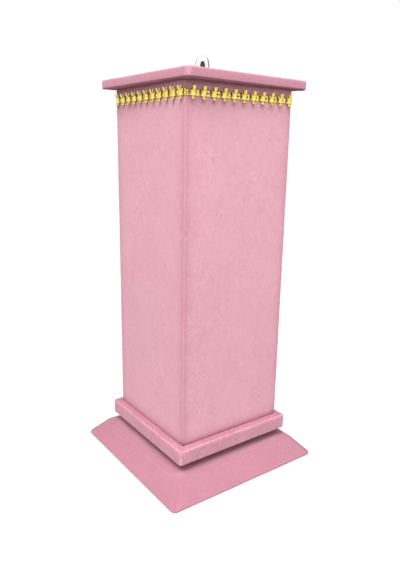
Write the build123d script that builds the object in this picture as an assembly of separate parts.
from build123d import *
from math import atan2, cos, degrees, pi, radians, sin, sqrt, tan
import os

# A velvet-covered display tower that turns on a ball-bearing swivel plate.
# All sizes are millimetres. +Z is up, Z = 0 is the table, and the Z axis is the turning axis.

# Cloth and glue
velvet = 0.6  # thickness of the velvet sheet
glue = 0.05  # glue line between a board and its sheet
cover = velvet + glue  # what one layer of cloth adds to a board
cover_turn = 18.0  # width of the sheet's edge turned in under a board

# Column: four boards round two square plugs
column_side = 123.0  # over the velvet
column_height = 338.0
column_corner = 1.6  # radius of the wrapped vertical edges
panel_thickness = 8.0
plug_thickness = 12.0
seam_gap = 0.3  # slit where the two ends of the column's sheet meet
seam_from_edge = 14.0  # the seam's distance from the column's rear right edge

# Top plate
top_side = 144.0
top_board_thickness = 6.8
top_corner = 5.0
top_edge = 1.3  # radius of the wrapped rim
top_turn = 2.5  # degrees that the plate sits turned, held by the stud in its middle

# Plinth, the square plate that turns under the column
plinth_side = 138.0
plinth_board_thickness = 14.0
plinth_corner = 2.4
plinth_edge = 2.0

# Base: a board with sloping sides
base_side = 182.0
plateau_side = 151.0
base_board_thickness = 18.0
base_lip = 2.2  # upright rim below the slope
base_corner = 5.0
plateau_edge = 3.0  # radius where the slope meets the flat top
pad_diameter = 18.0
pad_thickness = 1.5
pad_inset = 22.0  # from the base's side to a pad's centre

# Swivel bearing
bearing_side = 100.0
bearing_height = 11.0
bearing_corner = 8.0
sheet_steel = 1.2
ball_diameter = 5.0
ball_count = 24
race_radius = 38.0  # from the turning axis to the balls' centres
race_play = 0.05  # between a ball and its groove
land_gap = 1.6  # between the two pressed rings
land_width = 3.2  # flat beside the groove, on each side
ring_slope = 2.0  # how far a pressed ring's side leans in plan
rim_play = 0.2  # between the retaining ring and what turns in it
ring_seam = 0.01  # how far a pressed ring runs into its sheet, where the two are one piece
cage_thickness = 0.8
cage_half_width = 4.0
pocket_play = 0.1
bearing_hole_inset = 8.0  # from the bearing's side to a screw's centre
bearing_hole_play = 0.4
access_diameter = 13.0  # hole in the base for a screwdriver

# Screws, brads and nails
screw_diameter = 3.5
screw_head_diameter = 7.0
screw_head_height = 2.2
point_slope = 40.0  # degrees from a screw's axis to the side of its point
drive_width = 0.9  # slots of the screws' cross drive
drive_span = 3.8
drive_depth = 1.1
lower_screw_length = 12.0
upper_screw_length = 10.0
plinth_screw_diameter = 4.0
plinth_screw_head = 8.0
plinth_screw_length = 24.0
plinth_screw_offset = 30.0
brad_diameter = 1.4
brad_length = 20.0
brad_offset = 35.0
thread_play = 0.02  # between a fastener and the hole that it makes

# Hook strip
strip_height = 5.2
strip_thickness = 0.5
strip_drop = 10.4  # from the top plate's underside to the strip's middle
strip_play = 0.05  # between the strip and the velvet
strip_joint = 0.4  # gap where two lengths of strip meet
strip_shift = 0.7  # how far the hooks are from even spacing about the middle of each face
hooks_per_side = 11
hook_pad_width = 6.4
hook_pad_height = 5.8
hook_pad_depth = 2.4
hook_thickness = 0.6
upper_hook_width = 2.8
upper_hook_rise = 5.5  # from the strip's middle to the tips of the two prongs
upper_hook_back = 1.1  # from the wall to the straight prong
upper_hook_reach = 5.0  # from the wall to the leaning prong's tip
upper_hook_valley = 2.9  # from the strip's middle to the bottom of the notch between the prongs
lower_hook_width = 2.6
lower_hook_drop = 5.4
lower_hook_radius = 0.6
lower_hook_lip = 1.0
link_hole_diameter = 1.7
nail_diameter = 1.1
nail_length = 8.5
nail_head_diameter = 2.8
nail_head_height = 0.9
nails_per_side = 4
nail_spacing_hooks = 3  # hooks from one nail to the next

# Finial on top of the column
finial_height = 24.1
finial_belly_height = 13.4  # from the plate to the knob's widest level
finial_diameter = 14.0
finial_foot_diameter = 12.0
finial_foot_height = 1.6
finial_neck_diameter = 8.6
finial_foot_slope = 0.8  # height of the step from the foot to the neck
stud_diameter = 5.0
stud_hole_play = 0.25
stud_in_finial = 11.0
stud_below_nut = 1.5
washer_diameter = 15.0
washer_thickness = 1.2
nut_across_flats = 8.0
nut_height = 4.0

# Levels up the object
under_base = pad_thickness
base_board_bottom = under_base + cover
base_board_top = base_board_bottom + base_board_thickness
base_top = base_board_top + cover
bearing_middle = base_top + bearing_height / 2
plinth_bottom = base_top + bearing_height
plinth_board_bottom = plinth_bottom + cover
plinth_board_top = plinth_board_bottom + plinth_board_thickness
column_bottom = plinth_board_top + cover
column_top = column_bottom + column_height
top_board_bottom = column_top + cover
top_board_top = top_board_bottom + top_board_thickness
top_surface = top_board_top + cover
strip_middle = column_top - strip_drop

# Sizes that follow from those
panel_side = column_side - 2 * cover
plug_side = panel_side - 2 * panel_thickness
bearing_hole_offset = bearing_side / 2 - bearing_hole_inset
race_groove = ball_diameter / 2 + race_play
land_height = (bearing_height - land_gap) / 2  # top of the lower pressed ring over the base
plinth_screw_sink = (plinth_screw_head - plinth_screw_diameter) / 2  # height of the countersunk head
hook_pitch = (4 * (column_side + strip_thickness) - (8 - 2 * pi) * column_corner) / (4 * hooks_per_side)
strip_back = column_side / 2 + strip_play
strip_face = strip_back + strip_thickness


inwards = Rot(-90, 0, 0)  # turns what points up so that it points into the front face


def along_face(turn):
    """Moves what is made on the front face to the left, back or right face, a quarter turn each."""
    return Rot(0, 0, -90 * turn)


def four_corners(offset):
    """The four points at that offset from the turning axis, both ways."""
    return [(x, y) for x in (-offset, offset) for y in (-offset, offset)]


def joined(shapes):
    """Several solids as one compound, each still a separate solid."""
    return Compound(children=[s for shape in shapes for s in shape.solids()])


def rod(diameter, bottom, top, at=(0, 0)):
    """An upright cylinder between two levels."""
    return Pos(at[0], at[1], bottom) * extrude(Circle(diameter / 2), top - bottom)


def square_block(side, bottom, top, corner=0.0):
    """An upright square prism between two levels."""
    outline = RectangleRounded(side, side, corner) if corner else Rectangle(side, side)
    return Pos(0, 0, bottom) * extrude(outline, top - bottom)


def rounded_plate(side, bottom, top, corner, edge):
    """A square plate whose corners and whole rim are rounded."""
    plate = square_block(side, bottom, top, corner)
    radius = min(edge, 0.45 * (top - bottom), 0.9 * corner)
    low_rim = plate.edges().filter_by_position(Axis.Z, bottom, bottom)
    high_rim = plate.edges().filter_by_position(Axis.Z, top, top)
    return fillet(low_rim + high_rim, radius)


def sloped_block(bottom_side, top_side_, bottom, lip, top, corner):
    """A square block with an upright rim, and sides that slope in from it to a smaller top."""
    rim = square_block(bottom_side, bottom, bottom + lip, corner)
    slope = loft(
        [
            Pos(0, 0, bottom + lip) * RectangleRounded(bottom_side, bottom_side, corner),
            Pos(0, 0, top) * RectangleRounded(top_side_, top_side_, corner),
        ],
        ruled=True,
    )
    return rim + slope


def base_block(inset):
    """The base's outer form, or the same form with every face moved in by inset."""
    run = (base_side - plateau_side) / 2
    rise = base_top - under_base - base_lip
    slope = atan2(rise, run)
    plateau = plateau_side - 2 * inset * tan(slope / 2)
    lip = base_lip - inset - inset * tan((pi / 2 - slope) / 2)
    return sloped_block(
        base_side - 2 * inset, plateau, under_base + inset, lip, base_top - inset, base_corner - inset
    )


def cross_drive():
    """The cross-shaped recess that a screwdriver fits, as a solid to cut with."""
    return extrude(Rectangle(drive_span, drive_width) + Rectangle(drive_width, drive_span), drive_depth)


def bearing_screw(length):
    """A pan-head screw, pointing down, with the underside of its head at Z = 0."""
    root = screw_diameter / 2
    head = extrude(Circle(screw_head_diameter / 2), screw_head_height)
    head = fillet(head.edges().group_by(Axis.Z)[-1], 0.35 * screw_head_height)
    drive = Pos(0, 0, screw_head_height - drive_depth) * cross_drive()
    shank = rod(screw_diameter, root - length, 0)
    point = Pos(0, 0, root - length) * Rot(180, 0, 0) * extrude(Circle(root), root, taper=point_slope)
    return head - drive + shank + point


def lower_bearing_screws():
    screw = bearing_screw(lower_screw_length)
    return [Pos(x, y, base_top + sheet_steel) * screw for x, y in four_corners(bearing_hole_offset)]


def upper_bearing_screws():
    screw = Rot(180, 0, 0) * bearing_screw(upper_screw_length)
    return [Pos(x, y, plinth_bottom - sheet_steel) * screw for x, y in four_corners(bearing_hole_offset)]


def plinth_screws():
    """Countersunk screws that go up through the plinth into the column's lower plug."""
    root = plinth_screw_diameter / 2
    shank = rod(plinth_screw_diameter, 0, plinth_screw_length - root)
    point = Pos(0, 0, plinth_screw_length - root) * extrude(Circle(root), root, taper=point_slope)
    head = loft([Circle(plinth_screw_head / 2), Pos(0, 0, plinth_screw_sink) * Circle(root)])
    screw = head - cross_drive() + shank + point
    return [Pos(x, y, plinth_board_bottom) * screw for x, y in four_corners(plinth_screw_offset)]


def screw_holes(offset, bottom, top, diameter):
    """Four upright holes, as solids to cut with."""
    return [rod(diameter, bottom, top, at) for at in four_corners(offset)]


def at_brads(diameter, length):
    """Cylinders driven in from the panels' faces, at every place that has a brad."""
    levels = [column_bottom + plug_thickness / 2, column_top - plug_thickness / 2]
    return [
        along_face(turn) * Pos(across, -panel_side / 2, level) * inwards * rod(diameter, 0, length)
        for turn in range(4)
        for level in levels
        for across in (-brad_offset, 0.0, brad_offset)
    ]


def brads():
    """Headless pins through each panel into the edges of the two plugs."""
    return at_brads(brad_diameter, brad_length)


def cut_all(shape, tools):
    """The shape with every tool taken out of it."""
    for tool in tools:
        shape = shape - tool
    return shape


# The base and its swivel bearing


def foot_pads():
    offset = base_side / 2 - pad_inset
    pads = []
    for x, y in four_corners(offset):
        pad = rod(pad_diameter, 0, pad_thickness, (x, y))
        pads.append(fillet(pad.edges().group_by(Axis.Z)[0], 0.25 * pad_thickness))
    return joined(pads)


def base_lining():
    opening = base_side - 2 * cover_turn
    return square_block(opening - 2 * glue, under_base, under_base + velvet)


def lower_screw_cuts():
    bottom = base_top + sheet_steel - lower_screw_length - glue
    return screw_holes(bearing_hole_offset, bottom, base_top, screw_diameter + 2 * thread_play)


def access_hole():
    reach = sqrt(2) * bearing_hole_offset
    return rod(access_diameter, base_board_bottom, base_top, (reach, 0))


def base_board():
    return cut_all(base_block(cover), lower_screw_cuts() + [access_hole()])


def base_velvet():
    """One sheet over the top, down the slopes and turned in under the board."""
    outside = base_block(0)
    rim = outside.edges().filter_by_position(Axis.Z, base_top, base_top)
    outside = fillet(rim, plateau_edge)
    opening = square_block(base_side - 2 * cover_turn, under_base, base_board_bottom)
    return cut_all(outside, [base_block(velvet), opening, access_hole()] + lower_screw_cuts())


def pressed_plate():
    """The lower half of the bearing over Z = 0: a square sheet with a raised ring that holds a ball groove.

    The ring is one turned section: up the outer side, over the outer land, round the groove, over
    the inner land, and back below the same line at the sheet's thickness.
    """
    middle = bearing_height / 2
    top = land_height
    low = top - sheet_steel
    outer_land = race_radius + race_groove + land_width
    inner_land = race_radius - race_groove - land_width - sheet_steel
    foot = outer_land + ring_slope
    above = sqrt(race_groove**2 - (middle - top) ** 2)
    deep = race_groove + sheet_steel
    below = sqrt(deep**2 - (middle - low) ** 2)
    upper_line = Polyline((foot, sheet_steel), (outer_land, top), (race_radius + above, top))
    groove = ThreePointArc(
        (race_radius + above, top), (race_radius, middle - race_groove), (race_radius - above, top)
    )
    inner_line = Polyline(
        (race_radius - above, top), (inner_land, top), (inner_land, low), (race_radius - below, low)
    )
    under_groove = ThreePointArc(
        (race_radius - below, low), (race_radius, middle - deep), (race_radius + below, low)
    )
    side = outer_land - sheet_steel
    lower_line = Polyline(
        (race_radius + below, low), (side, low), (side + ring_slope, 0), (foot, 0), (foot, sheet_steel)
    )
    section = make_face([upper_line, groove, inner_line, under_groove, lower_line])
    ring = revolve(Plane.XZ * section, Axis.Z)
    sheet = square_block(bearing_side, 0, sheet_steel, bearing_corner)
    sheet = sheet - rod(2 * (foot - ring_seam), 0, sheet_steel)
    hole = screw_diameter + 2 * bearing_hole_play
    return cut_all(sheet, screw_holes(bearing_hole_offset, 0, sheet_steel, hole)) + ring


def bearing_lower_plate():
    return Pos(0, 0, base_top) * pressed_plate()


def bearing_upper_plate():
    return Pos(0, 0, plinth_bottom) * Rot(180, 0, 0) * pressed_plate()


def bearing_retaining_ring():
    """A channel-shaped ring crimped under the lower plate's inner land, which the upper land turns in."""
    land = race_radius - race_groove - land_width - sheet_steel
    outer = land - rim_play
    inner = outer - sheet_steel
    flange = land + land_width / 2
    low = base_top + land_height - sheet_steel
    high = base_top + bearing_height - land_height + sheet_steel + rim_play
    wall = rod(2 * outer, low - sheet_steel, high + sheet_steel)
    lower_flange = rod(2 * flange, low - sheet_steel, low)
    upper_flange = rod(2 * flange, high, high + sheet_steel)
    return wall + lower_flange + upper_flange - rod(2 * inner, low - sheet_steel, high + sheet_steel)


def ball_places():
    return [
        (race_radius * cos(2 * pi * n / ball_count), race_radius * sin(2 * pi * n / ball_count))
        for n in range(ball_count)
    ]


def bearing_balls():
    return joined([Pos(x, y, bearing_middle) * Sphere(ball_diameter / 2) for x, y in ball_places()])


def ball_cage():
    bottom = bearing_middle - cage_thickness / 2
    top = bearing_middle + cage_thickness / 2
    ring = rod(2 * (race_radius + cage_half_width), bottom, top)
    ring = ring - rod(2 * (race_radius - cage_half_width), bottom, top)
    pockets = [rod(ball_diameter + 2 * pocket_play, bottom, top, at) for at in ball_places()]
    return cut_all(ring, pockets)


# The plinth


def upper_screw_cuts():
    top = plinth_bottom - sheet_steel + upper_screw_length + glue
    return screw_holes(bearing_hole_offset, plinth_bottom, top, screw_diameter + 2 * thread_play)


def plinth_lining():
    opening = plinth_side - 2 * cover_turn
    sheet = square_block(opening - 2 * glue, plinth_bottom, plinth_bottom + velvet)
    return cut_all(sheet, upper_screw_cuts())


def plinth_board():
    board = rounded_plate(
        plinth_side - 2 * cover,
        plinth_board_bottom,
        plinth_board_top,
        plinth_corner - cover,
        plinth_edge - cover,
    )
    return cut_all(board, upper_screw_cuts() + plinth_screw_cuts())


def plinth_screw_cuts():
    """The countersunk holes in the plinth and the column's lower plug."""
    root = plinth_screw_diameter / 2 + thread_play
    mouth = plinth_screw_head / 2 + thread_play
    head = loft([Circle(mouth), Pos(0, 0, plinth_screw_sink) * Circle(root)])
    hole = head + rod(2 * root, 0, plinth_screw_length + glue)
    return [Pos(x, y, plinth_board_bottom) * hole for x, y in four_corners(plinth_screw_offset)]


def plate_velvet(side, bottom, top, corner, edge, opening):
    """A sheet over a plate's top and sides, turned in under it as far as the opening."""
    outside = rounded_plate(side, bottom, top, corner, edge)
    cavity = rounded_plate(side - 2 * velvet, bottom + velvet, top - velvet, corner - velvet, edge - velvet)
    return cut_all(outside, [cavity, square_block(opening, bottom, bottom + cover)])


def plinth_velvet():
    sheet = plate_velvet(
        plinth_side, plinth_bottom, column_bottom, plinth_corner, plinth_edge, plinth_side - 2 * cover_turn
    )
    return cut_all(sheet, plinth_screw_cuts())


# The column


def bottom_plug():
    plug = square_block(plug_side, column_bottom, column_bottom + plug_thickness)
    return cut_all(plug, plinth_screw_cuts() + brad_holes())


def top_plug():
    """It stands above the panels by one layer of cloth, up to the bare middle of the top board."""
    plug = square_block(plug_side, column_top - plug_thickness, top_board_bottom)
    return cut_all(plug, [stud_hole()] + brad_holes())


def brad_holes():
    return at_brads(brad_diameter + 2 * thread_play, brad_length + thread_play)


def wide_panel():
    """The front panel: the column's full width, with rounded outer edges."""
    body = square_block(panel_side, column_bottom, column_top, column_corner - cover)
    depth = panel_side / 2 - panel_thickness / 2
    slab = Pos(0, -depth, column_bottom) * extrude(Rectangle(panel_side, panel_thickness), column_height)
    return body & slab


def narrow_panel():
    """The left panel, which fits between the front and back panels."""
    depth = panel_side / 2 - panel_thickness / 2
    return Pos(-depth, 0, column_bottom) * extrude(Rectangle(panel_thickness, plug_side), column_height)


def holed_panel(panel):
    return cut_all(panel, brad_holes() + nail_holes())


def column_velvet():
    """One sheet wrapped round the column, whose ends meet at a seam on the back."""
    outside = square_block(column_side, column_bottom, column_top, column_corner)
    inside = square_block(column_side - 2 * velvet, column_bottom, column_top, column_corner - velvet)
    seam = Pos(column_side / 2 - seam_from_edge, column_side / 2, column_bottom) * extrude(
        Rectangle(seam_gap, 4 * velvet), column_height
    )
    return cut_all(outside - inside, [seam] + nail_holes())


# The top plate and finial


def stud_hole():
    return rod(stud_diameter + 2 * stud_hole_play, column_top - plug_thickness, top_surface)


def top_board():
    board = rounded_plate(
        top_side - 2 * cover, top_board_bottom, top_board_top, top_corner - cover, top_edge - cover
    )
    return Rot(0, 0, top_turn) * board - stud_hole()


def top_velvet():
    """The opening in the turned sheet is wide enough for the plug, which isn't turned."""
    spread = cos(radians(top_turn)) + sin(radians(top_turn))
    opening = spread * plug_side + 2 * glue
    sheet = plate_velvet(top_side, column_top, top_surface, top_corner, top_edge, opening)
    return Rot(0, 0, top_turn) * sheet - stud_hole()


def finial():
    """An egg-shaped knob on a short neck and a round foot, bored from below for its stud."""
    foot = finial_foot_diameter / 2
    neck = finial_neck_diameter / 2
    belly = finial_diameter / 2
    middle = finial_belly_height
    half = finial_height - middle
    reach = sqrt(1 - (neck / belly) ** 2)
    start = middle - half * reach
    shoulder = finial_foot_height
    low_angle = -degrees(atan2(reach, neck / belly))
    outline = [
        Line((0, 0), (foot, 0)),
        Line((foot, 0), (foot, shoulder)),
        Line((foot, shoulder), (neck, shoulder + finial_foot_slope)),
        Line((neck, shoulder + finial_foot_slope), (neck, start)),
        EllipticalCenterArc((0, middle), belly, half, start_angle=low_angle, arc_size=90 - low_angle),
        Line((0, finial_height), (0, 0)),
    ]
    body = revolve(Plane.XZ * make_face(outline), Axis.Z)
    body = body - rod(stud_diameter + 2 * thread_play, 0, stud_in_finial + glue)
    return Pos(0, 0, top_surface) * body


def finial_washer():
    top = column_top - plug_thickness
    ring = rod(washer_diameter, top - washer_thickness, top)
    return ring - rod(stud_diameter + 2 * stud_hole_play, top - washer_thickness, top)


def finial_nut():
    top = column_top - plug_thickness - washer_thickness
    corner_radius = nut_across_flats / sqrt(3)
    nut = Pos(0, 0, top - nut_height) * extrude(RegularPolygon(corner_radius, 6), nut_height)
    return nut - rod(stud_diameter + 2 * thread_play, top - nut_height, top)


def finial_stud():
    bottom = column_top - plug_thickness - washer_thickness - nut_height - stud_below_nut
    stud = rod(stud_diameter, bottom, top_surface + stud_in_finial)
    ends = stud.edges().filter_by(GeomType.CIRCLE)
    return chamfer(ends, 0.12 * stud_diameter)


# The hook strip


def hook_offsets():
    """Places of the hooks along one face, from its middle."""
    return [strip_shift + (n - (hooks_per_side - 1) / 2) * hook_pitch for n in range(hooks_per_side)]


def nail_offsets():
    """Places of the nails along one face. Each is in a link, halfway between two hooks."""
    step = nail_spacing_hooks * hook_pitch
    return [strip_shift + (n - (nails_per_side - 1) / 2) * step for n in range(nails_per_side)]


def nail_holes():
    hole = rod(nail_diameter + 2 * thread_play, 0, nail_length + glue)
    return [
        along_face(turn) * Pos(across, -strip_face, strip_middle) * inwards * hole
        for turn in range(4)
        for across in nail_offsets()
    ]


def strip_nails():
    """Round-headed nails that pin the strip to the panels."""
    shank = rod(nail_diameter, 0, nail_length)
    head = rod(nail_head_diameter, -nail_head_height, 0)
    head = fillet(head.edges().group_by(Axis.Z)[0], 0.8 * nail_head_height)
    nail = head + shank
    return joined(
        [
            along_face(turn) * Pos(across, -strip_face, strip_middle) * inwards * nail
            for turn in range(4)
            for across in nail_offsets()
        ]
    )


def bent_strap(radius, lip, reach, width):
    """A strap that rises from Z = 0 to reach, curls out towards -Y over the radius, and ends in a lip.

    Its back is at Y = -hook_pad_depth + hook_thickness, inside the pad that carries it.
    """
    near = hook_pad_depth - hook_thickness
    outer = radius + hook_thickness
    turn = reach - outer
    middle = hook_pad_depth + radius
    far = middle + outer
    inside = far - hook_thickness
    edge = make_face(
        [
            Polyline((near, 0), (near, turn)),
            ThreePointArc((near, turn), (middle, turn + outer), (far, turn)),
            Polyline((far, turn), (far, turn - lip), (inside, turn - lip), (inside, turn)),
            ThreePointArc((inside, turn), (middle, turn + radius), (hook_pad_depth, turn)),
            Polyline((hook_pad_depth, turn), (hook_pad_depth, 0), (near, 0)),
        ]
    )
    upright = Plane(origin=(-width / 2, 0, 0), x_dir=(0, -1, 0), z_dir=(1, 0, 0))
    return extrude(upright * edge, width)


def prongs():
    """Two prongs that rise from the pad, with an open notch between them.

    The back one is straight. The front one leans out from the pad's front.
    """
    inside = upper_hook_back + hook_thickness
    side = make_face(
        Polyline(
            (upper_hook_back, 0),
            (upper_hook_back, upper_hook_rise),
            (inside, upper_hook_rise),
            (inside, upper_hook_valley),
            (upper_hook_reach - hook_thickness, upper_hook_rise),
            (upper_hook_reach, upper_hook_rise),
            (hook_pad_depth, 0.35 * hook_pad_height),
            (hook_pad_depth, 0),
            close=True,
        )
    )
    upright = Plane(origin=(-upper_hook_width / 2, 0, 0), x_dir=(0, -1, 0), z_dir=(1, 0, 0))
    return extrude(upright * side, upper_hook_width)


def hook():
    """One stamped hook at the origin, on a wall whose face is Y = 0: a pad, two prongs above it, a curl below."""
    pad = Pos(0, -hook_pad_depth / 2, 0) * Box(hook_pad_width, hook_pad_depth, hook_pad_height)
    front = pad.edges().filter_by(Axis.Z).group_by(Axis.Y)[0]
    pad = chamfer(front, 0.2 * hook_pad_depth)
    below = bent_strap(lower_hook_radius, lower_hook_lip, lower_hook_drop, lower_hook_width)
    return pad + prongs() + Rot(0, 180, 0) * below


def strip_band():
    """The flat band right round the column, with a hole in each link."""
    side = 2 * strip_face
    low = strip_middle - strip_height / 2
    high = strip_middle + strip_height / 2
    outside = square_block(side, low, high, column_corner + strip_face - column_side / 2)
    inside = square_block(2 * strip_back, low, high, column_corner + strip_play)
    drill = Cylinder(link_hole_diameter / 2, 4 * strip_thickness)
    holes = [
        along_face(turn) * Pos(across + hook_pitch / 2, -strip_face, strip_middle) * Rot(90, 0, 0) * drill
        for turn in range(4)
        for across in hook_offsets()[:-1]
    ]
    bend = column_corner + strip_play + strip_thickness / 2
    bend_centre = column_corner - column_side / 2
    corner_hole = Rot(0, 0, degrees(strip_shift / bend) - 45) * Pos(0, -bend, 0) * Rot(90, 0, 0) * drill
    corner_holes = [
        along_face(turn) * Pos(bend_centre, bend_centre, strip_middle) * corner_hole for turn in (0, 2)
    ]
    return cut_all(outside - inside, holes + corner_holes)


def hook_strips():
    """Two lengths of strip. Each is bent round one edge of the column, and they meet at the other two."""
    band = strip_band()
    joint = Rot(0, 0, -45) * Pos(0, 0, strip_middle) * Box(4 * column_side, strip_joint, 2 * strip_height)
    pieces = (band - joint).solids()
    one_hook = hook()
    strips = {}
    for name, turns in (("hook_strip_front", (0, 1)), ("hook_strip_back", (2, 3))):
        side = -1 if name == "hook_strip_front" else 1
        strip = max(pieces, key=lambda piece: side * (piece.center().X + piece.center().Y))
        hooks = [
            along_face(turn) * Pos(across, -strip_back, strip_middle) * one_hook
            for turn in turns
            for across in hook_offsets()
        ]
        strips[name] = Part() + [strip] + hooks
    return strips


nodes = {
    "foot_pads": foot_pads(),
    "base_lining": base_lining(),
    "base_board": base_board(),
    "base_velvet": base_velvet(),
    "bearing_lower_plate": bearing_lower_plate(),
    "bearing_retaining_ring": bearing_retaining_ring(),
    "lower_bearing_screws": joined(lower_bearing_screws()),
    "ball_cage": ball_cage(),
    "bearing_balls": bearing_balls(),
    "bearing_upper_plate": bearing_upper_plate(),
    "upper_bearing_screws": joined(upper_bearing_screws()),
    "plinth_lining": plinth_lining(),
    "plinth_board": plinth_board(),
    "plinth_velvet": plinth_velvet(),
    "plinth_screws": joined(plinth_screws()),
    "bottom_plug": bottom_plug(),
    "front_panel": holed_panel(wide_panel()),
    "back_panel": holed_panel(Rot(0, 0, 180) * wide_panel()),
    "left_panel": holed_panel(narrow_panel()),
    "right_panel": holed_panel(Rot(0, 0, 180) * narrow_panel()),
    "top_plug": top_plug(),
    "panel_brads": joined(brads()),
    "column_velvet": column_velvet(),
    "top_board": top_board(),
    "top_velvet": top_velvet(),
    "strip_nails": strip_nails(),
    "finial": finial(),
    "finial_stud": finial_stud(),
    "finial_washer": finial_washer(),
    "finial_nut": finial_nut(),
    **hook_strips(),
}

os.makedirs("parts", exist_ok=True)
for name, shape in nodes.items():
    export_step(shape, f"parts/{name}.step")
